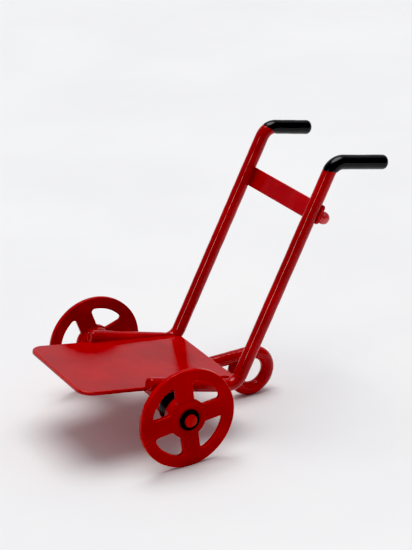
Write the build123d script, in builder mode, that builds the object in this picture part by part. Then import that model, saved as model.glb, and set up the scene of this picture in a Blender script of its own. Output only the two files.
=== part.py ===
# Miniature two-wheel hand truck (sack truck), one-twelfth scale.
#
# Millimetres, +Z up. The handles are at +Y, the toe plate is at -Y, and the axle lies along X.
# The origin is on the floor, under the middle of the overall width and length.
# The truck stands as it rests by itself: on its two wheels and on the round eye of the rest leg.
import os
from math import asin, atan2, cos, hypot, radians, sin

from build123d import *

os.makedirs("parts", exist_ok=True)

# ---------------------------------------------------------------- driving sizes
wheel_radius = 12.5          # a 12 inch wheel at one-twelfth scale
wheel_thickness = 1.2        # stamped disc
window_outer_radius = 9.5
window_inner_radius = 4.85
spoke_width = 4.6
window_corner_radius = 0.8
right_wheel_turn = 5.0       # how far each wheel happens to be turned, in degrees
left_wheel_turn = 18.0
hub_radius = 4.6
hub_length = 4.0
hub_outside = 0.4            # how far the hub stands out of the disc's outer face

rod_dia = 3.4                # eighth-inch wire and its enamel
rail_spacing = 31.52         # between the axes of the two side rods
rail_length = 59.2           # between the corners where straight lengths would meet
rail_lean = 28.8             # from vertical, towards the handles
base_length = 24.7
base_tilt = 15.6             # the base rises towards the toe
grip_droop = 11.4            # the handles fall away from the rails
right_handle_length = 15.3   # corner to the end of the grip
left_handle_length = 13.0    # the two wires were not cut to one length
bend_radius = 3.8            # centre line of both bends
base_corner_back = 18.44     # corner of rail and base behind the axle
base_corner_drop = 0.15      # the same corner below the axle's centre

grip_coat = 0.1              # dipped coating on the rod
grip_end_coat = 0.5          # the same, over the rod's end
grip_end_round = 1.0
right_dip_start = 2.3        # down the rail from the corner to the flat that ends the coating
left_dip_start = 0.15
right_dip_slant = 15.0       # that flat's slope from square across the rail, in degrees
left_dip_slant = -11.5

toe_half_width = 15.26
toe_thickness = 0.9
toe_reach = 22.46            # axle to the plate's front edge
toe_rise = 7.51              # underside of the front edge above the axle's centre
toe_tilt = 9.8
toe_front_length = 16.7      # full-width part, in front of the rods' ends
toe_length = 42.5
toe_corner_radius = 3.5
tongue_overlap = 0.7         # how far the plate's tongue reaches into the side rods' width

strap_below_corner = 13.0    # strap's centre below the rail and handle corner, along the rail
strap_width = 4.9
strap_thickness = 0.9
strap_overhang = 1.4         # past the rods' axes at each end
strap_seat = 0.15            # depth of the strap's shallow grooves for the rods
stud_ball_dia = 3.2
stud_drop = 0.5              # studs below the strap's middle, along the rail
stud_shank_dia = 1.2
stud_shank_depth = 1.3       # below the rod's surface

axle_dia = 3.2
lug_eye_radius = 3.1
lug_side_clearance = 0.05    # each lug is this much wider than its rod on both sides
lug_seat = 0.5               # how deep the rod lies in its lug
spacer_radius = 3.77
spacer_length = 4.3
retainer_radius = 2.65
retainer_thickness = 0.6
axle_end = 0.7               # axle past the retainer
axle_chamfer = 0.25

leg_eye_radius = 4.9         # centre line of the rest leg's eye
leg_wire_dia = 3.4
leg_eye_back = 31.6          # the eye's centre behind the axle
leg_tail_front = 4.5         # behind the axle
leg_seat = 0.2               # how deep the tail is flattened against the plate

# ---------------------------------------------------------------- clearances
running_clearance = 0.05     # radial, between the axle and each wheel's hub
end_clearance = 0.1          # axial, between a hub and the pieces on either side of it

# ---------------------------------------------------------------- derived positions
rod_r = rod_dia / 2
axle_r = axle_dia / 2
rail_x = rail_spacing / 2
axle_z = wheel_radius
grip_r = rod_r + grip_coat

lean = radians(rail_lean)
droop = radians(grip_droop)
grip_end_reach = grip_end_round * (1 - cos(droop)) + (grip_r - grip_end_round) * sin(droop)
handle_reach = max(right_handle_length, left_handle_length) * cos(droop) + grip_end_reach
overall_back = base_corner_back + rail_length * sin(lean) + handle_reach
axle_y = (toe_reach - overall_back) / 2

base_corner = (axle_y + base_corner_back, axle_z - base_corner_drop)
rail_dir = (sin(lean), cos(lean))
rail_back = (cos(lean), -sin(lean))
handle_dir = (cos(droop), -sin(droop))
base_dir = (-cos(radians(base_tilt)), sin(radians(base_tilt)))
plate_dir = (cos(radians(toe_tilt)), -sin(radians(toe_tilt)))
plate_up = (sin(radians(toe_tilt)), cos(radians(toe_tilt)))


def along(start, direction, distance):
    """Point at a distance from start along a direction, both in the Y-Z plane."""
    return (start[0] + direction[0] * distance, start[1] + direction[1] * distance)


handle_corner = along(base_corner, rail_dir, rail_length)
base_front = along(base_corner, base_dir, base_length)
strap_at = along(handle_corner, rail_dir, -strap_below_corner)
stud_at = along(strap_at, rail_dir, -stud_drop)

toe_edge = (axle_y - toe_reach, axle_z + toe_rise)
lug_width = rod_dia + 2 * lug_side_clearance
lug_out = rail_x + lug_width / 2
hub_in = lug_out + spacer_length + end_clearance
hub_out = hub_in + hub_length
disc_out = hub_out - hub_outside
disc_in = disc_out - wheel_thickness
retainer_in = hub_out + end_clearance
retainer_out = retainer_in + retainer_thickness
axle_half = retainer_out + axle_end

# ---------------------------------------------------------------- side rods
# Each side of the frame is one bent rod: handle, rail and base.


def side_rod(x, handle_length):
    """Bent rod at x, with its stud's hole and a rounded edge at each end."""
    rod_end = along(handle_corner, handle_dir, handle_length - grip_end_coat)
    stud_outside = along(stud_at, rail_back, rod_dia)
    with BuildPart() as rod:
        with BuildLine(Plane.YZ.offset(x)) as rod_line:
            FilletPolyline(base_front, base_corner, handle_corner, rod_end, radius=bend_radius)
        with BuildSketch(Plane(origin=rod_line.line @ 0, z_dir=rod_line.line % 0)):
            Circle(rod_r)
        sweep()
        with BuildSketch(Plane(origin=(x, *stud_outside), z_dir=(0, *rail_back))):
            Circle(stud_shank_dia / 2)
        extrude(amount=-(rod_r + stud_shank_depth), mode=Mode.SUBTRACT)
        toe_end = rod.faces().sort_by(Axis.Y)[0]
        fillet(toe_end.edges(), radius=0.35)
        handle_end = rod.faces().sort_by(Axis.Y)[-1]
        fillet(handle_end.edges(), radius=grip_end_round - grip_coat)
    return rod


right_side_rod = side_rod(rail_x, right_handle_length)
left_side_rod = side_rod(-rail_x, left_handle_length)

# ---------------------------------------------------------------- grips
# A dipped coating over each handle, round at its end. It ends at the bend in a flat, where the
# surface of the dip was, and the two handles were dipped to different depths and slants.


def grip(x, rod, handle_length, dip_start, dip_slant):
    """Coating of the rod at x, above the flat that dip_start and dip_slant place."""
    grip_low = along(handle_corner, rail_dir, -2 * bend_radius)
    grip_end = along(handle_corner, handle_dir, handle_length)
    dip_at = along(handle_corner, rail_dir, -dip_start)
    dip_up = radians(rail_lean - dip_slant)
    with BuildPart() as coating:
        with BuildLine(Plane.YZ.offset(x)) as grip_line:
            FilletPolyline(grip_low, handle_corner, grip_end, radius=bend_radius)
        with BuildSketch(Plane(origin=grip_line.line @ 0, z_dir=grip_line.line % 0)):
            Circle(grip_r)
        sweep()
        grip_tip = coating.faces().sort_by(Axis.Y)[-1]
        fillet(grip_tip.edges(), radius=grip_end_round)
        split(bisect_by=Plane(origin=(x, *dip_at), z_dir=(0, sin(dip_up), cos(dip_up))))
        add(rod.part, mode=Mode.SUBTRACT)
    return coating


right_grip = grip(rail_x, right_side_rod, right_handle_length, right_dip_start, right_dip_slant)
left_grip = grip(-rail_x, left_side_rod, left_handle_length, left_dip_start, left_dip_slant)

# ---------------------------------------------------------------- cross strap
# A flat strip across the backs of the two rails, near the handles.
strap_face = along(strap_at, rail_back, rod_r - strap_seat)
strap_rear = along(strap_face, rail_back, strap_thickness)

with BuildPart() as cross_strap:
    with BuildSketch(Plane(
        origin=(0, strap_face[0], strap_face[1]),
        x_dir=(-1, 0, 0),
        z_dir=(0, rail_back[0], rail_back[1]),
    )):
        Rectangle(rail_spacing + 2 * strap_overhang, strap_width)
        with Locations((rail_x, -stud_drop), (-rail_x, -stud_drop)):
            Circle(stud_shank_dia / 2, mode=Mode.SUBTRACT)
    extrude(amount=strap_thickness)
    corner_edges = cross_strap.edges().filter_by(Axis((0, 0, 0), (0, rail_back[0], rail_back[1])))
    end_edges = corner_edges.filter_by(GeomType.LINE).sort_by(Axis.X)
    fillet(end_edges[:2] + end_edges[-2:], radius=0.6)
    add(right_side_rod.part, mode=Mode.SUBTRACT)
    add(left_side_rod.part, mode=Mode.SUBTRACT)

# ---------------------------------------------------------------- strap studs
# A ball-headed stud holds each end of the strap to its rail.
ball_height = stud_ball_dia / 2 - 0.15
ball_centre = along(along(strap_rear, rail_dir, -stud_drop), rail_back, ball_height)
shank_length = ball_height + strap_thickness - strap_seat + stud_shank_depth

with BuildPart() as right_strap_stud:
    with BuildSketch(Plane(
        origin=(rail_x, ball_centre[0], ball_centre[1]),
        z_dir=(0, rail_back[0], rail_back[1]),
    )):
        Circle(stud_shank_dia / 2)
    extrude(amount=-shank_length)
    with Locations((rail_x, ball_centre[0], ball_centre[1])):
        Sphere(stud_ball_dia / 2)
    add(cross_strap.part, mode=Mode.SUBTRACT)

with BuildPart() as left_strap_stud:
    mirror(right_strap_stud.part, about=Plane.YZ)

# ---------------------------------------------------------------- toe plate
# A flat plate with rounded front corners. Its narrower tongue lies between the side rods.
plate_plane = Plane(
    origin=(0, toe_edge[0], toe_edge[1]),
    x_dir=(1, 0, 0),
    z_dir=(0, plate_up[0], plate_up[1]),
)
tongue_half_width = rail_x - rod_r + tongue_overlap

with BuildPart() as toe_plate:
    with BuildSketch(plate_plane):
        with Locations((0, toe_front_length / 2)):
            Rectangle(2 * toe_half_width, toe_front_length)
        with Locations((0, (toe_front_length + toe_length) / 2)):
            Rectangle(2 * tongue_half_width, toe_length - toe_front_length)
    extrude(amount=toe_thickness)
    upright_edges = toe_plate.edges().filter_by(Axis((0, 0, 0), (0, plate_up[0], plate_up[1])))
    fillet(upright_edges.sort_by(Axis.Y)[:2], radius=toe_corner_radius)
    add(right_side_rod.part, mode=Mode.SUBTRACT)
    add(left_side_rod.part, mode=Mode.SUBTRACT)

# ---------------------------------------------------------------- rest leg
# A rod bent into a round eye that stands on the floor. Its tail lies under the plate.
leg_eye_z = leg_eye_radius + leg_wire_dia / 2
tail_depth = leg_wire_dia / 2 - leg_seat
tail_front = along(
    along(toe_edge, plate_dir, (toe_reach + leg_tail_front) / plate_dir[0]),
    plate_up,
    -tail_depth,
)
tail_bend = along(along(toe_edge, plate_dir, toe_length - 0.6), plate_up, -tail_depth)
leg_eye_y = axle_y + leg_eye_back
to_eye = (leg_eye_y - tail_bend[0], leg_eye_z - tail_bend[1])
eye_distance = hypot(*to_eye)
tail_angle = atan2(to_eye[1], to_eye[0]) + asin(leg_eye_radius / eye_distance)
tail_reach = eye_distance * cos(asin(leg_eye_radius / eye_distance))
tail_tangent = along(tail_bend, (cos(tail_angle), sin(tail_angle)), tail_reach)

with BuildPart() as rest_leg:
    with BuildLine(Plane.YZ) as tail_line:
        FilletPolyline(tail_front, tail_bend, tail_tangent, radius=6.0)
    with BuildSketch(Plane(origin=tail_line.line @ 0, z_dir=tail_line.line % 0)):
        Circle(leg_wire_dia / 2)
    sweep()
    with Locations(Location((0, leg_eye_y, leg_eye_z), (0, 90, 0))):
        Torus(leg_eye_radius, leg_wire_dia / 2)
    add(toe_plate.part, mode=Mode.SUBTRACT)

# ---------------------------------------------------------------- axle and its lugs
with BuildPart() as axle:
    with BuildSketch(Plane.YZ.offset(-axle_half)):
        with Locations((axle_y, axle_z)):
            Circle(axle_r)
    extrude(amount=2 * axle_half)
    chamfer(axle.edges().filter_by(GeomType.CIRCLE), length=axle_chamfer)

# Each lug hangs under a side rod's base and holds the axle.
over_axle = along(base_corner, base_dir, base_corner_back / cos(radians(base_tilt)))
seat_up = (-base_dir[1], base_dir[0])
lug_top = along(over_axle, seat_up, rod_r - lug_seat)
lug_top_front = along(lug_top, base_dir, lug_eye_radius)
lug_top_back = along(lug_top, base_dir, -lug_eye_radius)

with BuildPart() as right_axle_lug:
    with BuildSketch(Plane.YZ.offset(rail_x - lug_width / 2)):
        with BuildLine():
            Polyline(
                (axle_y - lug_eye_radius, axle_z),
                lug_top_front,
                lug_top_back,
                (axle_y + lug_eye_radius, axle_z),
                close=True,
            )
        make_face()
        with Locations((axle_y, axle_z)):
            Circle(lug_eye_radius)
            Circle(axle_r, mode=Mode.SUBTRACT)
    extrude(amount=lug_width)
    add(right_side_rod.part, mode=Mode.SUBTRACT)
    add(toe_plate.part, mode=Mode.SUBTRACT)

with BuildPart() as left_axle_lug:
    mirror(right_axle_lug.part, about=Plane.YZ)

# ---------------------------------------------------------------- spacers
# A black collar fills the axle between each lug and its wheel.
with BuildPart() as right_spacer:
    with BuildSketch(Plane.YZ.offset(lug_out)):
        with Locations((axle_y, axle_z)):
            Circle(spacer_radius)
            Circle(axle_r, mode=Mode.SUBTRACT)
    extrude(amount=spacer_length)
    spacer_rims = right_spacer.edges().filter_by(GeomType.CIRCLE).sort_by(SortBy.RADIUS)[-2:]
    chamfer(spacer_rims, length=0.2)

with BuildPart() as left_spacer:
    mirror(right_spacer.part, about=Plane.YZ)

# ---------------------------------------------------------------- wheels
# A stamped disc with four windows, pressed on a turned hub that runs on the axle.
with BuildPart() as right_wheel_disc:
    with BuildSketch(Plane.YZ.offset(disc_in)):
        with Locations((axle_y, axle_z)):
            Circle(wheel_radius)
            Circle(hub_radius, mode=Mode.SUBTRACT)
    extrude(amount=wheel_thickness)
    disc_rims = right_wheel_disc.edges().filter_by(GeomType.CIRCLE).sort_by(SortBy.RADIUS)[-2:]
    fillet(disc_rims, radius=0.25)
    with BuildSketch(Plane.YZ.offset(disc_in)) as windows:
        with Locations((axle_y, axle_z)):
            Circle(window_outer_radius)
            Circle(window_inner_radius, mode=Mode.SUBTRACT)
            for quarter in (0, 90):
                Rectangle(
                    3 * wheel_radius,
                    spoke_width,
                    rotation=right_wheel_turn + quarter,
                    mode=Mode.SUBTRACT,
                )
        fillet(windows.vertices(), radius=window_corner_radius)
    extrude(amount=wheel_thickness, mode=Mode.SUBTRACT)

with BuildPart() as right_wheel_hub:
    with BuildSketch(Plane.YZ.offset(hub_in)):
        with Locations((axle_y, axle_z)):
            Circle(hub_radius)
            Circle(axle_r + running_clearance, mode=Mode.SUBTRACT)
    extrude(amount=hub_length)
    hub_rims = right_wheel_hub.edges().filter_by(GeomType.CIRCLE).sort_by(SortBy.RADIUS)[-2:]
    chamfer(hub_rims, length=0.15)

wheel_turn = Location((0, axle_y, axle_z)) * Rotation(left_wheel_turn - right_wheel_turn, 0, 0)
wheel_turn = wheel_turn * Location((0, -axle_y, -axle_z))

with BuildPart() as left_wheel_disc:
    add(mirror(right_wheel_disc.part, about=Plane.YZ, mode=Mode.PRIVATE).moved(wheel_turn))

with BuildPart() as left_wheel_hub:
    mirror(right_wheel_hub.part, about=Plane.YZ)

# ---------------------------------------------------------------- retainers
# A push-on ring keeps each wheel on the axle.
with BuildPart() as right_retainer:
    with BuildSketch(Plane.YZ.offset(retainer_in)):
        with Locations((axle_y, axle_z)):
            Circle(retainer_radius)
            Circle(axle_r, mode=Mode.SUBTRACT)
    extrude(amount=retainer_thickness)
    ring_rims = right_retainer.edges().filter_by(GeomType.CIRCLE).sort_by(SortBy.RADIUS)[-2:]
    fillet(ring_rims.sort_by(Axis.X)[-1], radius=0.2)

with BuildPart() as left_retainer:
    mirror(right_retainer.part, about=Plane.YZ)

# ---------------------------------------------------------------- named pieces
pieces = {
    "right_side_rod": right_side_rod,
    "left_side_rod": left_side_rod,
    "right_grip": right_grip,
    "left_grip": left_grip,
    "cross_strap": cross_strap,
    "right_strap_stud": right_strap_stud,
    "left_strap_stud": left_strap_stud,
    "toe_plate": toe_plate,
    "rest_leg": rest_leg,
    "axle": axle,
    "right_axle_lug": right_axle_lug,
    "left_axle_lug": left_axle_lug,
    "right_spacer": right_spacer,
    "left_spacer": left_spacer,
    "right_wheel_disc": right_wheel_disc,
    "left_wheel_disc": left_wheel_disc,
    "right_wheel_hub": right_wheel_hub,
    "left_wheel_hub": left_wheel_hub,
    "right_retainer": right_retainer,
    "left_retainer": left_retainer,
}

for name, piece in pieces.items():
    piece.part.label = name
    export_step(piece.part, f"parts/{name}.step")
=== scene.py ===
import math

import bmesh
import bpy
import numpy as np
from mathutils import Matrix, Vector
from mathutils.geometry import delaunay_2d_cdt


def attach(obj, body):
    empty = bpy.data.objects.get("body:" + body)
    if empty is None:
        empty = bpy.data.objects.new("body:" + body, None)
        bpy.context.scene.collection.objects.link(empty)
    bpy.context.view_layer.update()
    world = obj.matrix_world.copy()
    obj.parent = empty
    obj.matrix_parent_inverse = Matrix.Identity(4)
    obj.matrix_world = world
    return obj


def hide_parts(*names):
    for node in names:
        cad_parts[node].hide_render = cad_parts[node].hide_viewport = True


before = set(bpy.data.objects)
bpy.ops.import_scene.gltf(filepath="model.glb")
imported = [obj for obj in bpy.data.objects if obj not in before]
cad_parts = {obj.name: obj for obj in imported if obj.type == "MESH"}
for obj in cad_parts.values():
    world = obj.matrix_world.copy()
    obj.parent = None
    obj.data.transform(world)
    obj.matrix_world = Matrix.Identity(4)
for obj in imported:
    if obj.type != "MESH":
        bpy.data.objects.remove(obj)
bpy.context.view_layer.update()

# ---------------------------------------------------------------- side rods
# Each side of the frame is one length of eighth-inch steel wire, bent cold into base, rail and
# handle, soldered to the plate and dipped in red gloss enamel with everything else but the grips.
# The bends flatten the wire a little, and the enamel settles in shallow swellings along it.

# Sizes are in millimetres. Corners and directions are (Y, Z) in the plane of one side.
SIDES = (("right", 1), ("left", -1))
AXLE_Y, AXLE_Z = -19.838, 12.5
ROD_X, ROD_RADIUS, BEND_RADIUS = 15.76, 1.7, 3.8
BASE_TILT, RAIL_LEAN, HANDLE_DIP = (math.radians(angle) for angle in (15.6, 28.8, 11.4))
BASE_DIR = np.array([-math.cos(BASE_TILT), math.sin(BASE_TILT)])
RAIL_DIR = np.array([math.sin(RAIL_LEAN), math.cos(RAIL_LEAN)])
RAIL_BACK = np.array([RAIL_DIR[1], -RAIL_DIR[0]])
HANDLE_DIR = np.array([math.cos(HANDLE_DIP), -math.sin(HANDLE_DIP)])
CORNER_BACK, CORNER_DROP = 18.44, 0.15
BASE_LENGTH, RAIL_LENGTH = 24.7, 59.2
HANDLE_LENGTH = {"right": 15.3, "left": 13.0}
BASE_CORNER = np.array([AXLE_Y + CORNER_BACK, AXLE_Z - CORNER_DROP])
BASE_FRONT = BASE_CORNER + BASE_LENGTH * BASE_DIR
HANDLE_CORNER = BASE_CORNER + RAIL_LENGTH * RAIL_DIR
CUT_ROUND, TIP_ROUND = 0.6, 0.9
BEND_FLAT, BEND_EASE = 0.045, 2.5
LINE_STEP, WIRE_SIDES = 0.1, 72

wire_angles = np.linspace(0, 2 * math.pi, WIRE_SIDES, endpoint=False)

# How far the wire ends inside its grip, and how much its skin is let in to keep its swellings
# within the rod's own size.
TIP_COVER, ROD_SINK = 0.5, 0.01


def linear(code):
    """sRGB hex to linear RGBA: c / 12.92 below 0.04045, otherwise ((c + 0.055) / 1.055) ** 2.4."""
    c = np.array([int(code[i:i + 2], 16) for i in (1, 3, 5)]) / 255
    c = np.where(c <= 0.04045, c / 12.92, ((c + 0.055) / 1.055) ** 2.4)
    return (*c, 1.0)


def per(size_mm):
    """Texture scale, in repeats per metre, of a pattern whose features are size_mm across."""
    return 1000 / size_mm


def add(tree, kind, settings=None, links=None):
    """Adds one node. A setting is an attribute of the node or the value of a socket. A link names
    the socket that an output goes into, and a node there stands for its first output in use."""
    made = tree.nodes.new(kind)
    for key, value in (settings or {}).items():
        if isinstance(key, str) and hasattr(made, key):
            setattr(made, key, value)
        else:
            made.inputs[key].default_value = value
    for key, source in (links or {}).items():
        if isinstance(source, bpy.types.Node):
            source = next(output for output in source.outputs if output.enabled)
        tree.links.new(source, made.inputs[key])
    return made


def new_material(name):
    """An empty node material, its tree, and its object coordinates."""
    material = bpy.data.materials.new(name)
    material.use_nodes = True
    tree = material.node_tree
    tree.nodes.clear()
    return material, tree, add(tree, "ShaderNodeTexCoord").outputs["Object"]


def patches(tree, place, size_mm, detail, start, full, least=0.0, most=1.0):
    """Soft patches about size_mm across: noise, stretched so that it gives least up to start and
    most from full on."""
    soft = add(tree, "ShaderNodeTexNoise", {"Scale": per(size_mm), "Detail": detail},
               {"Vector": place})
    return add(tree, "ShaderNodeMapRange", {"From Min": start, "From Max": full, "To Min": least,
                                            "To Max": most}, {"Value": soft})


def gloss_enamel(name, swell_mm, peel_mm, peel_depth_mm, grade, shine=0.36, tints=None):
    """Red gloss enamel: thicker and deeper in slow patches, thinner and more orange on edges,
    with orange peel, a few nibs of dust caught under the film, and faint hazy patches."""
    material, tree, place = new_material(name)
    deep, middle = tints or (ENAMEL_DEEP, ENAMEL_MID)
    thick = patches(tree, place, swell_mm, detail=3.0, start=0.3, full=0.7)
    red = add(tree, "ShaderNodeMix", {"data_type": "RGBA", 6: linear(deep), 7: linear(middle)},
              {0: thick})
    fleck = patches(tree, place, swell_mm / 5, detail=2.0, start=0.55, full=0.8, most=0.35)
    red = add(tree, "ShaderNodeMix", {"data_type": "RGBA", 7: linear(ENAMEL_WARM)},
              {0: fleck, 6: red})
    edge = add(tree, "ShaderNodeAttribute", {"attribute_name": "thin"}).outputs["Fac"]
    broken = patches(tree, place, ENAMEL_RAGGED_MM, detail=4.0, start=0.3, full=0.65, least=0.25,
                     most=0.9)
    ragged = add(tree, "ShaderNodeMath", {"operation": "MULTIPLY"}, {0: edge, 1: broken})
    red = add(tree, "ShaderNodeMix", {"data_type": "RGBA", 7: linear(ENAMEL_THIN)},
              {0: ragged, 6: red})
    haze = patches(tree, place, ENAMEL_HAZE_MM, detail=4.0, start=0.3, full=0.75, least=grade,
                   most=grade + 0.08)
    peel = add(tree, "ShaderNodeTexNoise", {"Scale": per(peel_mm), "Detail": 2.0},
               {"Vector": place})
    lift = add(tree, "ShaderNodeBump", {"Strength": 0.5, "Distance": peel_depth_mm / 1000},
               {"Height": peel})
    cells = add(tree, "ShaderNodeTexVoronoi", {"Scale": per(NIB_GAP_MM)}, {"Vector": place})
    nibs = add(tree, "ShaderNodeMapRange", {"From Min": 0.012, "From Max": 0.045, "To Min": 1.0,
                                            "To Max": 0.0}, {"Value": cells})
    nib = add(tree, "ShaderNodeBump", {"Strength": 0.6, "Distance": NIB_HIGH_MM / 1000},
              {"Height": nibs, "Normal": lift})
    shader = add(tree, "ShaderNodeBsdfPrincipled", {"Specular IOR Level": shine},
                 {"Base Color": red, "Roughness": haze, "Normal": nib})
    add(tree, "ShaderNodeOutputMaterial", {}, {"Surface": shader})
    return material


# Oil-bound gloss enamel, deep and clear, so it mirrors what is round it in long soft streaks.
ENAMEL_DEEP, ENAMEL_MID = "#9E0002", "#BE0006"
ENAMEL_WARM, ENAMEL_THIN = "#CC1004", "#DC2408"
ENAMEL_RAGGED_MM, ENAMEL_HAZE_MM = 1.6, 5.0
NIB_GAP_MM, NIB_HIGH_MM = 2.6, 0.04
wire_enamel = gloss_enamel("red_gloss_enamel_dipped_on_steel_wire", swell_mm=9.0, peel_mm=1.1,
                           peel_depth_mm=0.012, grade=0.16)


def waves(points, seed, high, long):
    """A sum of plane waves in random directions, each about long mm from crest to crest. Together
    they reach roughly high mm to either side of nothing."""
    count = 16
    rng = np.random.default_rng(seed)
    way = rng.normal(size=(count, 3))
    way *= (2 * math.pi / long * rng.uniform(0.6, 1.5, count) / np.linalg.norm(way, axis=1))[:, None]
    total = np.sin(points @ way.T + rng.uniform(0, 2 * math.pi, count)).sum(-1)
    return high * (total * 0.75 / math.sqrt(count))


def build(name, grids, sheets=()):
    """One closed mesh from grids and sheets, in millimetres. In a grid, point (i, j) is joined to
    (i + 1, j) and (i, j + 1), and j runs round a ring. A sheet is points and triangles. Points
    that coincide become one, so poles and seams close, and the faces are turned outwards."""
    points, faces, thin, base = [], [], [], 0
    for grid, worn in grids:
        n, m = grid.shape[:2]
        i, j = np.meshgrid(np.arange(n - 1), np.arange(m), indexing="ij")
        a, b = base + i * m + j, base + i * m + (j + 1) % m
        faces += np.stack([a, b, b + m, a + m], -1).reshape(-1, 4).tolist()
        points.append(grid.reshape(-1, 3))
        thin.append(np.broadcast_to(worn, (n, m)).reshape(-1))
        base += n * m
    for corners, triangles in sheets:
        faces += (np.asarray(triangles) + base).tolist()
        points.append(corners)
        thin.append(np.zeros(len(corners)))
        base += len(corners)
    mesh = bpy.data.meshes.new(name)
    mesh.from_pydata((np.concatenate(points) / 1000).tolist(), [], faces)
    layer = mesh.attributes.new("thin", "FLOAT", "POINT")
    layer.data.foreach_set("value", np.concatenate(thin).astype(np.float32))
    work = bmesh.new()
    work.from_mesh(mesh)
    bmesh.ops.remove_doubles(work, verts=work.verts, dist=5e-7)
    bmesh.ops.dissolve_degenerate(work, edges=work.edges, dist=1e-7)
    bmesh.ops.recalc_face_normals(work, faces=work.faces)
    for face in work.faces:
        face.smooth = True
    work.to_mesh(mesh)
    work.free()
    piece = bpy.data.objects.new(name, mesh)
    bpy.context.scene.collection.objects.link(piece)
    return piece


def bent_line(corners, radius):
    """A line in the Y-Z plane through the corners, each rounded by an arc of the radius, as
    points LINE_STEP apart with their distance along it and their directions."""
    line = [np.asarray(corners[0], float)]
    for before, at, after in zip(corners, corners[1:], corners[2:]):
        back = (before - at) / np.linalg.norm(before - at)
        on = (after - at) / np.linalg.norm(after - at)
        half = math.acos(np.clip(back @ on, -1, 1)) / 2
        centre = at + (back + on) / np.linalg.norm(back + on) * radius / math.sin(half)
        first = at + back * radius / math.tan(half) - centre
        last = at + on * radius / math.tan(half) - centre
        share = np.linspace(0, 1, 60)[:, None]
        swing = math.pi - 2 * half
        turned_off = np.sin((1 - share) * swing) * first + np.sin(share * swing) * last
        line.extend(centre + turned_off / math.sin(swing))
    line.append(np.asarray(corners[-1], float))
    line = np.array(line)
    run = np.concatenate([[0], np.cumsum(np.linalg.norm(np.diff(line, axis=0), axis=1))])
    even = np.linspace(0, run[-1], int(run[-1] / LINE_STEP))
    line = np.stack([np.interp(even, run, line[:, 0]), np.interp(even, run, line[:, 1])], -1)
    way = np.gradient(line, axis=0)
    return line, even, way / np.linalg.norm(way, axis=1)[:, None]


def round_end(radius, rounding):
    """Distance from the end and radius of a flat end with a rounded edge, from its middle out."""
    rings = 4
    turn = np.linspace(0, math.pi / 2, 9)
    flat = np.linspace(0, 1, rings + 1)[:-1] * (radius - rounding)
    return (np.concatenate([np.zeros(rings), rounding * (1 - np.cos(turn))]),
            np.concatenate([flat, radius - rounding + rounding * np.sin(turn)]))


def stations(length, start, finish, radius, step):
    """Places and radii along a rod of the length with a rounded edge at each end."""
    low, low_radius = round_end(radius, start)
    high, high_radius = round_end(radius, finish)
    middle = np.arange(start + step, length - finish - step / 2, step)
    return (np.concatenate([low, middle, length - high[::-1]]),
            np.concatenate([low_radius, np.full(len(middle), radius), high_radius[::-1]]))


def tube(line, places, radii, x):
    """Points of a tube: at each place along the line, a circle of the radius in the plane across
    it. Place and radius may differ round the circle. Angle 0 is +X, and a quarter turn is to the
    line's left."""
    track, run, way = line
    places, radii = (v[:, None] * np.ones(WIRE_SIDES) if v.ndim == 1 else v for v in (places, radii))
    at = np.stack([np.interp(places, run, track[:, k]) for k in (0, 1)], -1)
    on = np.stack([np.interp(places, run, way[:, k]) for k in (0, 1)], -1)
    left = np.stack([-on[..., 1], on[..., 0]], -1)
    side, lift = radii * np.cos(wire_angles), radii * np.sin(wire_angles)
    return np.concatenate([(x + side)[..., None], at + lift[..., None] * left], -1)


def bend_share(places, line, reach):
    """1 inside the line's bends and 0 on its straight runs, eased over the reach."""
    track, run, way = line
    turn = np.linalg.norm(np.gradient(way, run, axis=0), axis=1) * BEND_RADIUS
    size = int(reach / LINE_STEP)
    eased = np.convolve(turn, np.hanning(size) / np.hanning(size).sum(), mode="same")
    return np.interp(places, run, np.clip(eased, 0, 1))


for side, sign in SIDES:
    rod_end = HANDLE_CORNER + (HANDLE_LENGTH[side] - TIP_COVER) * HANDLE_DIR
    rod_line = bent_line([BASE_FRONT, BASE_CORNER, HANDLE_CORNER, rod_end], BEND_RADIUS)
    rod_places, rod_radii = stations(rod_line[1][-1], CUT_ROUND, TIP_ROUND, ROD_RADIUS, step=0.35)
    oval = bend_share(rod_places, rod_line, BEND_EASE)[:, None] * np.cos(2 * wire_angles) * BEND_FLAT
    plain = tube(rod_line, rod_places, rod_radii, sign * ROD_X)
    lumps = (waves(plain, 11 + sign, high=0.022, long=7.0)
             + waves(plain, 21 + sign, high=0.010, long=2.2))
    full = np.minimum(rod_radii / ROD_RADIUS, 1)[:, None]
    wire = tube(rod_line, rod_places, rod_radii[:, None] + full * (oval + lumps - ROD_SINK),
                sign * ROD_X)
    rod = build(f"{side}_bent_wire_rod", [(wire, 0.0)])
    rod.data.materials.append(wire_enamel)
    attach(rod, "frame")
    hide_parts(f"{side}_side_rod")

# ---------------------------------------------------------------- grips
# Each handle is dipped in liquid vinyl and oven cured. The skin starts with a thin lip where the
# liquid stood, a different depth and slant on each side, hangs thicker under the wire, and gathers
# in a rounded bead over the end.
GRIP_RADIUS, GRIP_LIP, GRIP_ROUND = 1.8, 0.8, 1.0
GRIP_LINE_START, GRIP_END_GAP = 7.6, 0.03
DIP_START = {"right": 2.3, "left": 0.15}
DIP_SLANT = {"right": 15.0, "left": -11.5}
LIP_RADIUS = ROD_RADIUS - 0.02
LIP_RINGS, INNER_RINGS, JOIN_RINGS = 12, 4, 6
BEAD_REACH, BEAD_THICK, HANG_THICK = 5, 0.06, 0.03
PINHOLE_GAP_MM = 1.9


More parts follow.
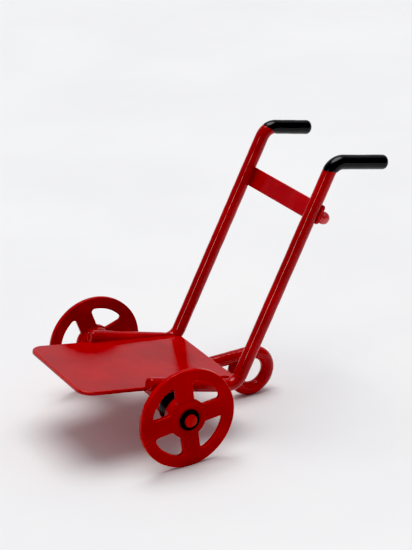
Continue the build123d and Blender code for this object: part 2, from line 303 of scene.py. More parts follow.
def dipped_vinyl(name):
    """Cured vinyl plastisol: near black with a brown cast, glossy, with slow runs round the wire,
    pinholes, and a faint bloom that dulls it in patches."""
    material, tree, place = new_material(name)
    cast = patches(tree, place, 4.0, detail=3.0, start=0.35, full=0.7)
    black = add(tree, "ShaderNodeMix", {"data_type": "RGBA", 6: linear("#060505"),
                                        7: linear("#0F0C0D")}, {0: cast})
    bloom = patches(tree, place, 3.0, detail=4.0, start=0.35, full=0.7, least=0.16, most=0.26)
    runs = add(tree, "ShaderNodeTexNoise", {"Scale": per(2.1), "Detail": 2.0}, {"Vector": place})
    skin = add(tree, "ShaderNodeBump", {"Strength": 0.4, "Distance": 0.00002}, {"Height": runs})
    cells = add(tree, "ShaderNodeTexVoronoi", {"Scale": per(PINHOLE_GAP_MM)}, {"Vector": place})
    pins = add(tree, "ShaderNodeMapRange", {"From Min": 0.015, "From Max": 0.06}, {"Value": cells})
    pin = add(tree, "ShaderNodeBump", {"Strength": 0.5, "Distance": 0.00004},
              {"Height": pins, "Normal": skin})
    shader = add(tree, "ShaderNodeBsdfPrincipled", {"Specular IOR Level": 0.38},
                 {"Base Color": black, "Roughness": bloom, "Normal": pin})
    add(tree, "ShaderNodeOutputMaterial", {}, {"Surface": shader})
    return material


# Black dipped vinyl: smoother than moulded rubber, so it carries a few small soft highlights.
vinyl = dipped_vinyl("black_dipped_vinyl")


def dip_places(line, x, at, up):
    """Where the dip's flat surface crosses the wire, as a distance along it for each angle."""
    places = np.arange(0, line[1][-1], 0.05)
    wall = tube(line, places, np.full(len(places), ROD_RADIUS), x)
    under = (wall[..., 1:] - at) @ up < 0
    last = len(places) - 1 - np.argmax(under[::-1], axis=0)
    return places[last]


lip_rise = 1 - (1 - np.linspace(0, 1, LIP_RINGS)) ** 2.2
lip_radii = LIP_RADIUS + (GRIP_RADIUS - LIP_RADIUS) * lip_rise
for side, sign in SIDES:
    grip_end = HANDLE_CORNER + (HANDLE_LENGTH[side] - GRIP_END_GAP) * HANDLE_DIR
    grip_start = HANDLE_CORNER - GRIP_LINE_START * RAIL_DIR
    grip_line = bent_line([grip_start, HANDLE_CORNER, grip_end], BEND_RADIUS)
    length = grip_line[1][-1]
    dip_up = RAIL_LEAN - math.radians(DIP_SLANT[side])
    first = dip_places(grip_line, sign * ROD_X, HANDLE_CORNER - DIP_START[side] * RAIL_DIR,
                       np.array([math.sin(dip_up), math.cos(dip_up)]))
    body_places, body_radii = stations(length, 0.3, GRIP_ROUND, GRIP_RADIUS, step=0.25)
    body = body_places > first.max() + GRIP_LIP + 0.2
    share = np.linspace(0, 1, LIP_RINGS)[:, None]
    inside = np.linspace(0, 1, INNER_RINGS + 1)[:-1, None]
    joined = np.linspace(0, 1, JOIN_RINGS + 2)[1:-1, None]
    lip_end, body_start = first + GRIP_LIP, body_places[body][0]
    grip_places = np.concatenate([
        first.mean() + inside * (first - first.mean()),
        first + share * GRIP_LIP,
        lip_end + joined * (body_start - lip_end),
        body_places[body][:, None] * np.ones(WIRE_SIDES)])
    grip_radii = np.concatenate([inside[:, 0] * LIP_RADIUS, lip_radii,
                                 np.full(JOIN_RINGS, GRIP_RADIUS), body_radii[body]])
    plain = tube(grip_line, grip_places, grip_radii, sign * ROD_X)
    near_end = np.clip((grip_places - length + BEAD_REACH) / BEAD_REACH, 0, 1)
    below = np.clip(-np.sin(wire_angles), 0, 1) ** 2
    full = np.clip(grip_radii / GRIP_RADIUS, 0, 1)[:, None] ** 6
    swell = (waves(plain, 31 + sign, high=0.022, long=6.0)
             + waves(plain, 41 + sign, high=0.004, long=2.2) - 0.02)
    hang = (HANG_THICK + BEAD_THICK * near_end) * below
    wander = (waves(plain, 51 + sign, high=0.10, long=4.0)
              * np.clip(1 - (grip_places - first) / 2, 0, 1))
    skin = tube(grip_line, grip_places + wander, grip_radii[:, None] + full * (swell + hang),
                sign * ROD_X)
    grip = build(f"{side}_dipped_grip", [(skin, 0.0)])
    grip.data.materials.append(vinyl)
    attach(grip, "frame")
    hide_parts(f"{side}_grip")

# ---------------------------------------------------------------- toe plate
# A plate sheared and rounded from 0.9 mm sheet steel, its narrower tongue soldered between the two
# base rods. Shearing rolls the upper edge over, and the sheet keeps a slight spring and warp.
PLATE_TILT = math.radians(9.8)
PLATE_DIR = np.array([math.cos(PLATE_TILT), -math.sin(PLATE_TILT)])
PLATE_UP = np.array([-PLATE_DIR[1], PLATE_DIR[0]])
PLATE_AHEAD, PLATE_RISE = 22.46, 7.51
PLATE_EDGE = np.array([AXLE_Y - PLATE_AHEAD, AXLE_Z + PLATE_RISE])
PLATE_THICK = 0.9
PLATE_HALF, TONGUE_HALF = 15.26, 14.76
PLATE_FRONT, PLATE_LENGTH = 16.7, 42.5
SHOULDER, FRONT_CORNER, TONGUE_CORNER = 1.5, 3.5, 0.8
OUTLINE_STEP = 1.5

# On flat sheet the same enamel levels out, so it mirrors the room in one broad soft sheen.
sheet_enamel = gloss_enamel("red_gloss_enamel_on_sheared_sheet", swell_mm=14.0, peel_mm=1.5,
                            peel_depth_mm=0.006, grade=0.17)


def rounded(corners, radii, per_turn):
    """A closed outline through the corners, counter-clockwise, each rounded by its radius, with
    the straight runs divided every OUTLINE_STEP. A whole circle would have per_turn points."""
    corners = np.asarray(corners, float)
    pieces = []
    neighbours = np.roll(corners, 1, 0), np.roll(corners, -1, 0)
    for at, before, after, radius in zip(corners, *neighbours, radii):
        back = (before - at) / np.linalg.norm(before - at)
        on = (after - at) / np.linalg.norm(after - at)
        half = math.acos(np.clip(back @ on, -1, 1)) / 2
        cross = back[0] * on[1] - back[1] * on[0]
        centre = at + (back + on) / np.linalg.norm(back + on) * radius / math.sin(half)
        first = at + back * radius / math.tan(half) - centre
        swing = (math.pi - 2 * half) * (-1 if cross > 0 else 1)
        start = math.atan2(first[1], first[0])
        turn = start + np.linspace(0, swing, max(3, int(abs(swing) / (2 * math.pi) * per_turn)))
        pieces.append(centre + radius * np.stack([np.cos(turn), np.sin(turn)], -1))
    outline = []
    for corner_arc, following in zip(pieces, pieces[1:] + pieces[:1]):
        run = following[0] - corner_arc[-1]
        share = np.linspace(0, 1, max(2, int(np.linalg.norm(run) / OUTLINE_STEP) + 1))[1:-1, None]
        outline += [corner_arc, corner_arc[-1] + share * run]
    return np.concatenate(outline)


def inward(outline):
    """Unit normals to the left of a closed outline: inwards, as it runs counter-clockwise."""
    way = np.roll(outline, -1, 0) - outline
    way /= np.linalg.norm(way, axis=1)[:, None]
    way = way + np.roll(way, 1, 0)
    way /= np.linalg.norm(way, axis=1)[:, None]
    return np.stack([-way[:, 1], way[:, 0]], -1)


def within(points, outline):
    """Even-odd test of many points against a closed outline."""
    x, y = points[:, :1], points[:, 1:]
    a, b = outline, np.roll(outline, -1, 0)
    crosses = (a[:, 1] > y) != (b[:, 1] > y)
    rise = np.where(b[:, 1] == a[:, 1], 1e-12, b[:, 1] - a[:, 1])
    left = x < a[:, 0] + (y - a[:, 1]) * (b[:, 0] - a[:, 0]) / rise
    return (crosses & left).sum(1) % 2 == 1


def stamped(name, outer, holes, thick, upper_roll, lower_roll, step, place, warp=None,
            thin_edges=1.0):
    """A sheet part: round each outline goes a profile of two quarter circles, upper_roll and
    lower_roll, and both faces are filled between the inset outlines with triangles about step
    apart. place turns (across, along, height) into X, Y, Z, and warp adds to the height."""
    def height(flat, level):
        lift = (warp(flat) if warp else 0.0) * np.ones(flat.shape[:-1])
        return place(np.concatenate([flat, (level + lift)[..., None]], -1))

    turn = np.linspace(0, math.pi / 2, 7)
    inset = np.concatenate([[upper_roll * 1.8], upper_roll * (1 - np.sin(turn)),
                            lower_roll * (1 - np.cos(turn)), [lower_roll * 1.8]])
    level = np.concatenate([[thick], thick - upper_roll + upper_roll * np.cos(turn),
                            lower_roll * (1 - np.sin(turn)), [0]])
    worn = thin_edges * np.concatenate([[0], np.sin(2 * turn), np.sin(2 * turn) * 0.6, [0]])
    grids, upper, lower = [], [], []
    for outline, way in [(outer, 1)] + [(hole, -1) for hole in holes]:
        flat = outline + way * inset[:, None, None] * inward(outline)
        grids.append((height(flat, level[:, None]), worn[:, None]))
        upper.append(flat[0])
        lower.append(flat[-1])
    sheets = []
    for rims, at in ((upper, thick), (lower, 0.0)):
        low, high = rims[0].min(0), rims[0].max(0)
        lines = [np.arange(low[k], high[k], step) for k in (0, 1)]
        fill = np.stack(np.meshgrid(*lines), -1).reshape(-1, 2)
        fill = fill[within(fill, rims[0])]
        for rim in rims[1:]:
            fill = fill[~within(fill, rim)]
        for rim in rims:
            fill = fill[np.linalg.norm(fill[:, None] - rim[None], axis=2).min(1) > step * 0.45]
        edges, start = [], 0
        for rim in rims:
            index = np.arange(len(rim))
            edges += (start + np.stack([index, (index + 1) % len(rim)], -1)).tolist()
            start += len(rim)
        flat = np.concatenate(rims + [fill])
        found = delaunay_2d_cdt([Vector(p) for p in flat], edges, [], 0, 1e-9)
        corners, triangles = np.array([tuple(v) for v in found[0]]), np.array(found[2])
        middle = corners[triangles].mean(1)
        keep = within(middle, rims[0])
        for rim in rims[1:]:
            keep &= ~within(middle, rim)
        sheets.append((height(corners, at), triangles[keep]))
    return build(name, grids, sheets)


def laid(points, at, along, up):
    """(Across, along, height) to X, Y, Z, for a sheet laid from a place along one direction, its
    height measured in another."""
    flat = at + points[..., 1:2] * along + points[..., 2:] * up
    return np.concatenate([points[..., :1], flat], -1)


def on_plate(points):
    """Across, along and height on the plate to X, Y, Z."""
    return laid(points, PLATE_EDGE, PLATE_DIR, PLATE_UP)


def spring(flat):
    """The plate's slight warp, under 0.15 mm, fading to none at its front edge."""
    space = np.concatenate([flat, np.zeros(flat.shape[:-1] + (1,))], -1)
    warp = waves(space, 5, high=0.06, long=30.0) + waves(space, 6, high=0.012, long=9.0)
    return warp * np.clip(flat[..., 1] / 6, 0, 1)


plate_outline = rounded(
    [(-PLATE_HALF, 0), (PLATE_HALF, 0), (PLATE_HALF, PLATE_FRONT),
     (TONGUE_HALF, PLATE_FRONT + SHOULDER), (TONGUE_HALF, PLATE_LENGTH),
     (-TONGUE_HALF, PLATE_LENGTH), (-TONGUE_HALF, PLATE_FRONT + SHOULDER),
     (-PLATE_HALF, PLATE_FRONT)],
    [FRONT_CORNER] * 2 + [SHOULDER] * 2 + [TONGUE_CORNER] * 2 + [SHOULDER] * 2, per_turn=96)
plate = stamped("sheared_toe_plate", plate_outline, [], PLATE_THICK, upper_roll=0.3, lower_roll=0.14,
                step=0.9, place=on_plate, warp=spring, thin_edges=0.8)
plate.data.materials.append(sheet_enamel)
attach(plate, "frame")
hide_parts("toe_plate")

# ---------------------------------------------------------------- cross strap and studs
# A flat strip of sheet steel lies across the backs of the rails and is held at each end by a
# ball-headed stud. The balls are dipped in the same enamel, which gathers on them in soft lumps.
STRAP_DOWN, STRAP_SEAT = 13.0, 0.15
STRAP_AT = HANDLE_CORNER - STRAP_DOWN * RAIL_DIR
STRAP_FACE = STRAP_AT + (ROD_RADIUS - STRAP_SEAT) * RAIL_BACK
STRAP_HALF, STRAP_WIDTH, STRAP_THICK, STRAP_CORNER = 17.16, 4.9, 0.9, 0.8
BALL_RADIUS, BALL_SINK, STUD_DROP = 1.6, 0.15, 0.5
BALL_HEIGHT = STRAP_THICK + BALL_RADIUS - BALL_SINK
STUD_AT = STRAP_FACE - STUD_DROP * RAIL_DIR


def on_strap(points):
    """Across, up the rails and height behind the rails to X, Y, Z."""
    return laid(points, STRAP_FACE, RAIL_DIR, RAIL_BACK)


def bow(flat):
    """The strip's slight unevenness, about 0.03 mm."""
    return waves(np.concatenate([flat, flat[..., :1]], -1), 8, high=0.03, long=11.0)


strap_outline = rounded([(-STRAP_HALF, -STRAP_WIDTH / 2), (STRAP_HALF, -STRAP_WIDTH / 2),
                         (STRAP_HALF, STRAP_WIDTH / 2), (-STRAP_HALF, STRAP_WIDTH / 2)],
                        [STRAP_CORNER] * 4, per_turn=80)
strap = stamped("flat_cross_strap", strap_outline, [], STRAP_THICK, upper_roll=0.26, lower_roll=0.2,
                step=0.7, place=on_strap, warp=bow)
strap.data.materials.append(sheet_enamel)
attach(strap, "frame")
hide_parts("cross_strap")


def turned(profile, origin, axis, sides):
    """A profile of (along, radius) pairs turned about an axis through the origin."""
    axis = np.asarray(axis, float) / np.linalg.norm(axis)
    side = np.cross(axis, (0, 0, 1) if abs(axis[2]) < 0.9 else (1, 0, 0))
    side /= np.linalg.norm(side)
    other = np.cross(axis, side)
    angle = np.linspace(0, 2 * math.pi, sides, endpoint=False)[None, :, None]
    along, radius = (np.asarray(profile, float)[:, k][:, None, None] for k in (0, 1))
    ring = np.cos(angle) * side + np.sin(angle) * other
    return np.asarray(origin) + along * axis + radius * ring


# The balls carry a second coat of the same enamel, thicker and shinier. Its light pink tints are
# painted light: a painted reflection of the bright room, lighter than the enamel's own red.
ball_enamel_with_painted_sheen = gloss_enamel("red_gloss_enamel_with_painted_pink_reflection_on_balls", swell_mm=1.6, peel_mm=0.7,
                           peel_depth_mm=0.020, grade=0.26, shine=0.9, tints=("#D01C28", "#DA3A46"))

# Along the stud's axis: a foot let into the strap, a collar of enamel, a neck and the ball.
ball_turn = np.linspace(0, math.pi, 40)
ball = np.stack([BALL_HEIGHT - BALL_RADIUS * np.cos(ball_turn), BALL_RADIUS * np.sin(ball_turn)], -1)
foot_along = STRAP_THICK + np.array([-0.25, -0.25, 0.0, 0.06, 0.14, 0.26, 0.42])
foot = np.stack([foot_along, [0.0, 1.5, 1.9, 1.55, 1.30, 1.16, 1.1]], -1)
neck = ball[ball[:, 0] > foot[-1, 0] + 0.12]
stud_profile = np.concatenate([foot, neck])
for side, sign in SIDES:
    surface = turned(stud_profile, (sign * ROD_X, *STUD_AT), (0, *RAIL_BACK), sides=72)
    middle = np.array([sign * ROD_X, *(STUD_AT + BALL_HEIGHT * RAIL_BACK)])
    out = surface - middle
    out /= np.linalg.norm(out, axis=-1)[..., None]
    lumps = waves(surface, 61 + sign, high=0.05, long=1.9) - 0.03
    # The ball's pink is a painted reflection and painted light, not a tint of the paint.
    stud = build(f"{side}_ball_stud", [(surface + out * lumps[..., None], 0.25)])
    stud.data.materials.append(ball_enamel_with_painted_sheen)
    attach(stud, "frame")
    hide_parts(f"{side}_strap_stud")

# ---------------------------------------------------------------- rest leg
# The same wire bent round a mandrel into an eye that the truck rests on. Its straight tail runs
# forward under the plate, and its cut end closes against the tail.
EYE_RADIUS, LEG_WIRE = 4.9, 1.7
EYE_BACK = 31.6
EYE = np.array([AXLE_Y + EYE_BACK, EYE_RADIUS + LEG_WIRE])
TAIL_SEAT = 0.2
TAIL_DEPTH = LEG_WIRE - TAIL_SEAT
TAIL_AHEAD, TAIL_BEND_IN, TAIL_BEND_RADIUS = 4.5, 0.6, 6.0
tail_front = (PLATE_EDGE + (PLATE_AHEAD + TAIL_AHEAD) / PLATE_DIR[0] * PLATE_DIR
              - TAIL_DEPTH * PLATE_UP)
tail_bend = PLATE_EDGE + (PLATE_LENGTH - TAIL_BEND_IN) * PLATE_DIR - TAIL_DEPTH * PLATE_UP
to_eye = EYE - tail_bend
tail_turn = math.atan2(to_eye[1], to_eye[0]) + math.asin(EYE_RADIUS / np.linalg.norm(to_eye))
tail_touch = tail_bend + np.array([math.cos(tail_turn), math.sin(tail_turn)]) * math.sqrt(
    to_eye @ to_eye - EYE_RADIUS ** 2)
eye_start = math.atan2(*(tail_touch - EYE)[::-1])
eye_angles = eye_start - np.linspace(0, 2 * math.pi, 220)[1:]
eye_track = EYE + EYE_RADIUS * np.stack([np.cos(eye_angles), np.sin(eye_angles)], -1)
tail_track = bent_line([tail_front, tail_bend, tail_touch], TAIL_BEND_RADIUS)[0]
leg_track = np.concatenate([tail_track, eye_track])
leg_run = np.concatenate([[0], np.cumsum(np.linalg.norm(np.diff(leg_track, axis=0), axis=1))])
leg_way = np.gradient(leg_track, leg_run, axis=0)
leg_line = (leg_track, leg_run, leg_way / np.linalg.norm(leg_way, axis=1)[:, None])
leg_places, leg_radii = stations(leg_run[-1], 0.5, 0.5, LEG_WIRE, step=0.3)
leg_plain = tube(leg_line, leg_places, leg_radii, 0.0)
leg_full = np.minimum(leg_radii / LEG_WIRE, 1)
leg_lumps = (waves(leg_plain, 71, high=0.025, long=4.5)
             + waves(leg_plain, 72, high=0.012, long=1.6) - 0.035)
leg_skin = tube(leg_line, leg_places, leg_radii[:, None] + leg_full[:, None] * leg_lumps, 0.0)
leg = build("bent_wire_rest_leg", [(leg_skin, 0.0)])
leg.data.materials.append(wire_enamel)
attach(leg, "frame")
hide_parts("rest_leg")

# ---------------------------------------------------------------- axle
# A plain length of eighth-inch rod through both lugs. It was dipped with the frame, so its two
# ends show red, slightly domed with the enamel that gathered there.
AXLE_HALF, AXLE_RADIUS = 27.31, 1.6
END_FLAT, END_DOME, END_ROUND = 1.1, 0.10, 0.42
AXLE_BODY_HALF, AXLE_WORN_FROM = 26.6, 26.9

# Enamel that gathered on small parts and in corners: fine, soft orange peel and a deeper red.
lump_enamel = gloss_enamel("red_gloss_enamel_gathered_on_solder", swell_mm=3.0, peel_mm=0.8,
                           peel_depth_mm=0.014, grade=0.2, shine=0.24)
dome = np.linspace(0, 1, 5)[:-1]
axle_turn = np.linspace(0, math.pi / 2, 9)
axle_end = np.concatenate([
    np.stack([AXLE_HALF - END_DOME * dome ** 2, END_FLAT * dome], -1),
    np.stack([AXLE_HALF - END_DOME - END_ROUND * (1 - np.cos(axle_turn)),
              END_FLAT + (AXLE_RADIUS - END_FLAT) * np.sin(axle_turn)], -1)])
axle_body = [[x, AXLE_RADIUS] for x in np.linspace(AXLE_BODY_HALF, -AXLE_BODY_HALF, 90)]
axle_profile = np.concatenate([axle_end, axle_body, (axle_end * (-1, 1))[::-1]])
axle_surface = turned(axle_profile, (0, AXLE_Y, AXLE_Z), (1, 0, 0), sides=64)
axle_worn = np.where(np.abs(axle_profile[:, 0]) > AXLE_WORN_FROM, 0.5, 0.0)[:, None]
axle = build("painted_axle_rod", [(axle_surface, axle_worn)])
axle.data.materials.append(lump_enamel)
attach(axle, "frame")
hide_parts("axle")

# ---------------------------------------------------------------- axle lugs
# A thick pressed lug hangs under each base rod and carries the axle in its round eye. It is
# soldered to the rod, and its long edges are softened by tumbling and by the enamel.
LUG_EYE, LUG_WIDTH, LUG_SEAT, LUG_ROLL = 3.1, 3.5, 0.5, 0.25
over_axle = BASE_CORNER - CORNER_BACK / BASE_DIR[0] * BASE_DIR
lug_top = over_axle + np.array([BASE_DIR[1], -BASE_DIR[0]]) * (LUG_SEAT - ROD_RADIUS)
lug_front, lug_back = lug_top + BASE_DIR * LUG_EYE, lug_top - BASE_DIR * LUG_EYE


def arc(centre, radius, start, end, count):
    """Points on a circle from angle start to angle end."""
    turn = np.linspace(start, end, count)
    return np.asarray(centre) + radius * np.stack([np.cos(turn), np.sin(turn)], -1)


lug_outline = np.concatenate([arc((AXLE_Y, AXLE_Z), LUG_EYE, math.pi, 2 * math.pi, 40),
                              [lug_back, lug_front]])
lug_hole = arc((AXLE_Y, AXLE_Z), AXLE_RADIUS, 0, 2 * math.pi, 49)[:-1]
for side, sign in SIDES:

    def on_lug(p):
        """Along, up and height from the lug's outer face to X, Y, Z."""
        return np.stack([sign * ROD_X + LUG_WIDTH / 2 - p[..., 2], p[..., 0], p[..., 1]], -1)

    lug = stamped(f"{side}_pressed_lug", lug_outline, [lug_hole], LUG_WIDTH, upper_roll=LUG_ROLL,
                  lower_roll=LUG_ROLL, step=1.2, place=on_lug)
    lug.data.materials.append(sheet_enamel)
    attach(lug, "frame")
    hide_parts(f"{side}_axle_lug")

# ---------------------------------------------------------------- solder fillets
# Every joint of the frame is soft soldered before it is dipped. The solder draws into each corner
# in a hollow curve, a little uneven along its length, and the enamel covers it.
PLATE_SOLDER_ENDS = (PLATE_FRONT + 0.6, PLATE_LENGTH - 1.6)
PLATE_SOLDER_IN, ROD_WALL_REACH = 0.2, 1.45
STRAP_SOLDER_IN, STRAP_SOLDER_HALF = 0.7, 2.3
LEG_SOLDER_OFF, LEG_SOLDER_ENDS = 0.66, (27.2, PLATE_LENGTH - 0.9)


def drawn_fillet(name, path, legs, ways, seed):
    """A fillet along a path: across it, from the corner, one leg runs along each surface and a
    hollow curve a (1 - t)^2 + b t^2 joins their ends. It shrinks to nothing at both ends."""
    share = np.linspace(0, 1, len(path))[:, None, None]
    full = np.clip(np.minimum(share, 1 - share) / 0.08, 0, 1) ** 0.5
    t = np.linspace(0, 1, 12)[None, :, None]
    uneven = 1 + waves(path, seed, high=0.12, long=6.0)[:, None, None]
    a, b = (np.broadcast_to(way, path.shape)[:, None, :] * leg for way, leg in zip(ways, legs))
    curve = (a * (1 - t) ** 2 + b * t ** 2) * uneven * full
    corner = -(a + b) * 0.25 * full
    return build(name, [(path[:, None, :] + np.concatenate([corner, curve], 1), 0.0)])


solder = []
plate_run = np.linspace(*PLATE_SOLDER_ENDS, 110)
tail_run = np.linspace(*LEG_SOLDER_ENDS, 90)
strap_run = np.linspace(0, 1, 60)[:, None]
to_rod = BASE_CORNER - PLATE_EDGE
rod_run = (plate_run - to_rod @ PLATE_DIR) / (BASE_DIR @ PLATE_DIR)
rod_height = to_rod @ PLATE_UP + rod_run * (BASE_DIR @ PLATE_UP) - PLATE_THICK
rod_height = np.clip(rod_height, -ROD_WALL_REACH, ROD_WALL_REACH)
gap = np.minimum(ROD_X - np.sqrt(ROD_RADIUS ** 2 - rod_height ** 2), TONGUE_HALF - PLATE_SOLDER_IN)
for side, sign in SIDES:
    seat = on_plate(np.stack([sign * gap, plate_run, np.full_like(plate_run, PLATE_THICK)], -1))
    solder.append(drawn_fillet(
        f"{side}_plate_solder", seat, legs=(0.8, 0.75),
        ways=((-sign, 0, 0), (0.12 * sign, *PLATE_UP)), seed=81 + sign))
    inner_x = sign * (ROD_X - STRAP_SOLDER_IN)
    low = np.array([inner_x, *(STRAP_FACE - STRAP_SOLDER_HALF * RAIL_DIR)])
    high = np.array([inner_x, *(STRAP_FACE + STRAP_SOLDER_HALF * RAIL_DIR)])
    solder.append(drawn_fillet(
        f"{side}_strap_solder", low + strap_run * (high - low), legs=(1.0, 1.05),
        ways=((-sign, 0, 0), (-0.7 * sign, *(-0.72 * RAIL_BACK))), seed=91 + sign))
for side, sign in SIDES:
    off = np.full_like(tail_run, LEG_SOLDER_OFF * sign)
    under = on_plate(np.stack([off, tail_run, np.zeros_like(tail_run)], -1))
    solder.append(drawn_fillet(
        f"{side}_leg_solder", under, legs=(0.8, 0.85),
        ways=((sign, 0, 0), (0.62 * sign, *(-0.78 * PLATE_UP))), seed=101 + sign))
for fillet in solder:
    fillet.data.materials.append(lump_enamel)
    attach(fillet, "frame")

# ---------------------------------------------------------------- spacers and retainers
# A black moulded collar keeps each wheel off the frame, and a thin black push-on ring keeps it on
# the axle. Both are satin plastic with softened rims and the fine grain of a sparked mould.
SPACER_IN, SPACER_OUT, SPACER_RADIUS = 17.51, 21.81, 3.77
RETAINER_IN, RETAINER_OUT, RETAINER_RADIUS = 26.01, 26.61, 2.65
GRAIN_MM = 0.22


def moulded_plastic(name):
    """Satin black plastic: a fine even grain from the mould and slightly shinier rubbed patches."""
    material, tree, place = new_material(name)
    shade = patches(tree, place, 2.5, detail=3.0, start=0.35, full=0.7)
    black = add(tree, "ShaderNodeMix", {"data_type": "RGBA", 6: linear("#070708"),
                                        7: linear("#0D0C0E")}, {0: shade})
    rubbed = patches(tree, place, 1.8, detail=4.0, start=0.3, full=0.7, least=0.36, most=0.52)
    grain = add(tree, "ShaderNodeTexNoise", {"Scale": per(GRAIN_MM), "Detail": 2.0},
                {"Vector": place})
    lift = add(tree, "ShaderNodeBump", {"Strength": 0.5, "Distance": 0.00002}, {"Height": grain})
    shader = add(tree, "ShaderNodeBsdfPrincipled", {"Specular IOR Level": 0.25},
                 {"Base Color": black, "Roughness": rubbed, "Normal": lift})
    add(tree, "ShaderNodeOutputMaterial", {}, {"Surface": shader})
    return material


# Moulded polystyrene: a dull sheen only, darker than the glossy grips. The real grain is finer
# than 0.2 mm and is drawn that coarse so that it shows.
collar_plastic = moulded_plastic("black_moulded_polystyrene")


def ring_profile(start, end, inner, outer, roundings):
    """A ring's closed section of (along, radius) pairs with its four corners rounded."""
    corners = [(start, inner), (end, inner), (end, outer), (start, outer)]
    section = rounded(corners, roundings, per_turn=32)
    return np.concatenate([section, section[:1]])


spacer_profile = ring_profile(SPACER_IN, SPACER_OUT, AXLE_RADIUS, SPACER_RADIUS,
                              (0.1, 0.1, 0.35, 0.35))
retainer_profile = ring_profile(RETAINER_IN, RETAINER_OUT, AXLE_RADIUS, RETAINER_RADIUS,
                                (0.08, 0.12, 0.28, 0.12))
for side, sign in SIDES:
    for name, node, profile in (
            (f"{side}_moulded_spacer", f"{side}_spacer", spacer_profile),
            (f"{side}_push_on_retainer", f"{side}_retainer", retainer_profile)):
        surface = turned(profile * (sign, 1), (0, AXLE_Y, AXLE_Z), (1, 0, 0), sides=80)
        ring = build(name, [(surface, 0.0)])
        ring.data.materials.append(collar_plastic)
        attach(ring, "frame")
        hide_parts(node)

# ---------------------------------------------------------------- wheels
# Each wheel is a disc stamped from 1.2 mm sheet with four windows, pressed on a turned hub and
# dipped. The punch rolls the outer edges over, and solder runs in a ring where hub and disc meet.
WHEEL_RADIUS, WHEEL_THICK, DISC_OUT = 12.5, 1.2, 25.51
HUB_IN, HUB_OUT, HUB_RADIUS, BORE = 21.91, 25.91, 4.6, 1.65
WINDOW_OUTER, WINDOW_INNER, SPOKE_HALF, WINDOW_CORNER = 9.5, 4.85, 2.3, 0.8
WHEEL_TURN = {"right": 5.0, "left": 18.0}
RIM_INSIDE, DISC_LAP = 0.002, 0.3
SEAM_OUT, SEAM_UP, SEAM_IN = 0.3, 0.2, 0.2


def window(turn):
    """One window, counter-clockwise: two arcs about the axle and two straight spoke sides. Each
    corner's centre is the corner radius inside its two sides."""
    q, inset = WINDOW_CORNER, SPOKE_HALF + WINDOW_CORNER
    far, near = WINDOW_OUTER - q, WINDOW_INNER + q
    far_up, near_up = math.sqrt(far ** 2 - inset ** 2), math.sqrt(near ** 2 - inset ** 2)
    wide, narrow = math.atan2(inset, far_up), math.atan2(inset, near_up)
    quarter = math.pi / 2
    inwards = np.linspace(far_up, near_up, 6)[1:-1]
    side = np.full_like(inwards, SPOKE_HALF)
    outline = np.concatenate([
        arc((far_up, inset), q, -quarter, wide, 12),
        arc((0, 0), WINDOW_OUTER, wide, quarter - wide, 26)[1:-1],
        arc((inset, far_up), q, quarter - wide, math.pi, 12),
        np.stack([side, inwards], -1),
        arc((inset, near_up), q, math.pi, math.pi + quarter - narrow, 9),
        arc((0, 0), WINDOW_INNER, quarter - narrow, narrow, 10)[1:-1],
        arc((near_up, inset), q, math.pi + narrow, math.pi * 1.5, 9),
        np.stack([inwards[::-1], side], -1)])
    c, s = math.cos(turn), math.sin(turn)
    return outline @ np.array([[c, s], [-s, c]])


# The wheels took one thin coat, so they mirror less than the plate does.
wheel_enamel = gloss_enamel("red_gloss_enamel_thin_on_stamped_discs", swell_mm=8.0, peel_mm=1.3,
                            peel_depth_mm=0.008, grade=0.22, shine=0.18)
rim = arc((0, 0), WHEEL_RADIUS - RIM_INSIDE, 0, 2 * math.pi, 181)[:-1]
centre_hole = arc((0, 0), HUB_RADIUS - DISC_LAP, 0, 2 * math.pi, 73)[:-1]
hub_profile = ring_profile(HUB_IN, HUB_OUT, BORE, HUB_RADIUS, (0.12, 0.2, 0.3, 0.25))
seam_turn = np.linspace(0, math.pi / 2, 8)
seam = np.stack([DISC_OUT + SEAM_OUT * (1 - np.sin(seam_turn)),
                 HUB_RADIUS + SEAM_UP * (1 - np.cos(seam_turn))], -1)
seam_profile = np.concatenate([seam, [[DISC_OUT - SEAM_IN, HUB_RADIUS + SEAM_UP],
                                      [DISC_OUT - SEAM_IN, HUB_RADIUS - SEAM_IN],
                                      [DISC_OUT + SEAM_OUT, HUB_RADIUS - SEAM_IN]], seam[:1]])
for side, sign in SIDES:
    turn = WHEEL_TURN[side]
    holes = [window(math.radians(turn + 90 * k)) for k in range(4)] + [centre_hole]

    def on_wheel(p):
        """Across, up and height on the disc's outer face to X, Y, Z."""
        outward = sign * (DISC_OUT - WHEEL_THICK + p[..., 2])
        return np.stack([outward, AXLE_Y + p[..., 0], AXLE_Z + p[..., 1]], -1)

    def dish(flat):
        """The disc's slight unevenness, about 0.02 mm, let in so that it stays in its size."""
        space = np.concatenate([flat, flat[..., :1] * 0], -1)
        return waves(space, 111 + sign, high=0.018, long=8.0) - 0.02

    disc = stamped(f"{side}_stamped_wheel_disc", rim, holes, WHEEL_THICK, upper_roll=0.3,
                   lower_roll=0.14, step=0.8, place=on_wheel, warp=dish)
    hub_surface = turned(hub_profile * (sign, 1), (0, AXLE_Y, AXLE_Z), (1, 0, 0), sides=96)
    hub = build(f"{side}_turned_hub", [(hub_surface, 0.0)])
    seam_surface = turned(seam_profile * (sign, 1), (0, AXLE_Y, AXLE_Z), (1, 0, 0), sides=96)
    ring = build(f"{side}_hub_solder_ring", [(seam_surface, 0.0)])
    for piece, node in ((disc, f"{side}_wheel_disc"), (hub, f"{side}_wheel_hub"), (ring, None)):
        piece.data.materials.append(wheel_enamel)
        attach(piece, f"{side}_wheel")
        if node:
            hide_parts(node)

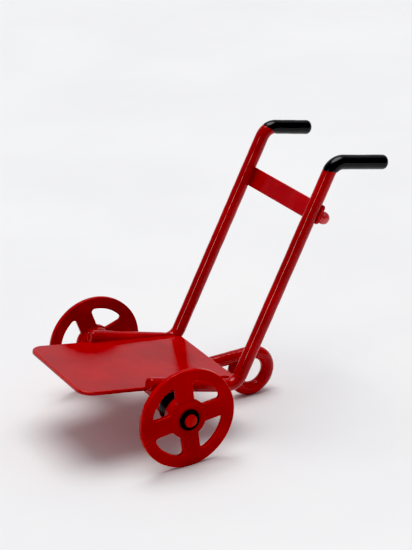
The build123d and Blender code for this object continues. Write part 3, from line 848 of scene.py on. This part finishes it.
# ---------------------------------------------------------------- floor, light and camera
# A pale seamless sweep of paper, lit by one large soft box overhead and a little behind. A low
# window in front draws the thin highlights along the rails, and the room fills the rest.
FLOOR_HALF_M = 12.0
CAMERA_AT = (0.3937, AXLE_Y / 1000 - 0.1924, 0.2265)
CAMERA_AZIMUTH, CAMERA_HEIGHT, CAMERA_ROLL = (math.radians(a) for a in (61.68, 23.12, -1.98))
LENS_MM, SENSOR_MM = 129.66, 36.0

# Matt seamless paper: an even soft white with only a faint tooth, so the shadows stay clean.
floor_material, tree, place = new_material("pale_seamless_paper")
tone = patches(tree, place, 60.0, detail=3.0, start=0.3, full=0.7)
white = add(tree, "ShaderNodeMix", {"data_type": "RGBA", 6: linear("#EFF0F0"), 7: linear("#F4F5F4")},
            {0: tone})
fibre = add(tree, "ShaderNodeTexNoise", {"Scale": per(0.8), "Detail": 3.0}, {"Vector": place})
tooth = add(tree, "ShaderNodeBump", {"Strength": 0.15, "Distance": 0.00005}, {"Height": fibre})
shader = add(tree, "ShaderNodeBsdfPrincipled", {"Roughness": 0.85, "Specular IOR Level": 0.15},
             {"Base Color": white, "Normal": tooth})
add(tree, "ShaderNodeOutputMaterial", {}, {"Surface": shader})
corners = np.array([[-1, -1, 0], [1, -1, 0], [1, 1, 0], [-1, 1, 0]]) * FLOOR_HALF_M
floor_mesh = bpy.data.meshes.new("paper_floor")
floor_mesh.from_pydata(corners.tolist(), [], [(0, 1, 2, 3)])
floor = bpy.data.objects.new("paper_floor", floor_mesh)
bpy.context.scene.collection.objects.link(floor)
floor_mesh.materials.append(floor_material)

toward = np.array([math.sin(CAMERA_AZIMUTH) * math.cos(CAMERA_HEIGHT),
                   -math.cos(CAMERA_AZIMUTH) * math.cos(CAMERA_HEIGHT), math.sin(CAMERA_HEIGHT)])
level = np.array([math.cos(CAMERA_AZIMUTH), math.sin(CAMERA_AZIMUTH), 0.0])
upright = np.cross(toward, level)
right = math.cos(CAMERA_ROLL) * level + math.sin(CAMERA_ROLL) * upright
up = -math.sin(CAMERA_ROLL) * level + math.cos(CAMERA_ROLL) * upright
lens = bpy.data.cameras.new("camera")
lens.lens = LENS_MM
lens.sensor_width = SENSOR_MM
lens.clip_start = 0.01
camera = bpy.data.objects.new("camera", lens)
camera.matrix_world = (Matrix.Translation(CAMERA_AT)
                       @ Matrix((right, up, toward)).transposed().to_4x4())
bpy.context.scene.collection.objects.link(camera)
bpy.context.scene.camera = camera


def soft_light(name, bearing, height, spread, strength, colour):
    """A distant soft light. Its bearing is from +X towards +Y, its height is from the floor and
    its spread is how wide it looks, all in degrees."""
    data = bpy.data.lights.new(name, "SUN")
    data.angle = math.radians(spread)
    data.energy = strength
    data.color = linear(colour)[:3]
    light = bpy.data.objects.new(name, data)
    b, h = math.radians(bearing), math.radians(height)
    source = Vector((math.cos(b) * math.cos(h), math.sin(b) * math.cos(h), math.sin(h)))
    light.rotation_euler = source.to_track_quat("Z", "Y").to_euler()
    light.location = source * 0.5
    bpy.context.scene.collection.objects.link(light)


soft_light("overhead_soft_light", bearing=150, height=83, spread=44, strength=1.84, colour="#FFFFFF")
soft_light("low_front_window", bearing=-64, height=18, spread=9, strength=0.24, colour="#FFF8F4")

# The room is brightest overhead and beyond the truck, and dim behind whoever looks at it.
BEYOND, OVERHEAD = 0.75, 0.66
away = -np.array([toward[0], toward[1], 0]) / math.hypot(toward[0], toward[1])
bright_side = away * BEYOND + (0, 0, OVERHEAD)
world = bpy.data.worlds.new("studio_room")
bpy.context.scene.world = world
world.use_nodes = True
room = world.node_tree
room.nodes.clear()
ray = add(room, "ShaderNodeTexCoord").outputs["Generated"]
facing = add(room, "ShaderNodeVectorMath", {"operation": "DOT_PRODUCT", 1: tuple(bright_side)},
             {0: ray})
glow = add(room, "ShaderNodeMapRange", {"From Min": -0.4, "From Max": 0.7}, {"Value": facing})
shade = add(room, "ShaderNodeMix", {"data_type": "RGBA", 6: linear("#77757C"), 7: linear("#FBFAFF")},
            {0: glow})
backdrop = add(room, "ShaderNodeBackground", {"Strength": 0.55}, {"Color": shade})
add(room, "ShaderNodeOutputWorld", {}, {"Surface": backdrop})
picture = bpy.context.scene.view_settings
picture.view_transform = "Standard"
picture.use_curve_mapping = True
picture.curve_mapping.black_level = (0.02, 0.02, 0.02)
picture.curve_mapping.update()
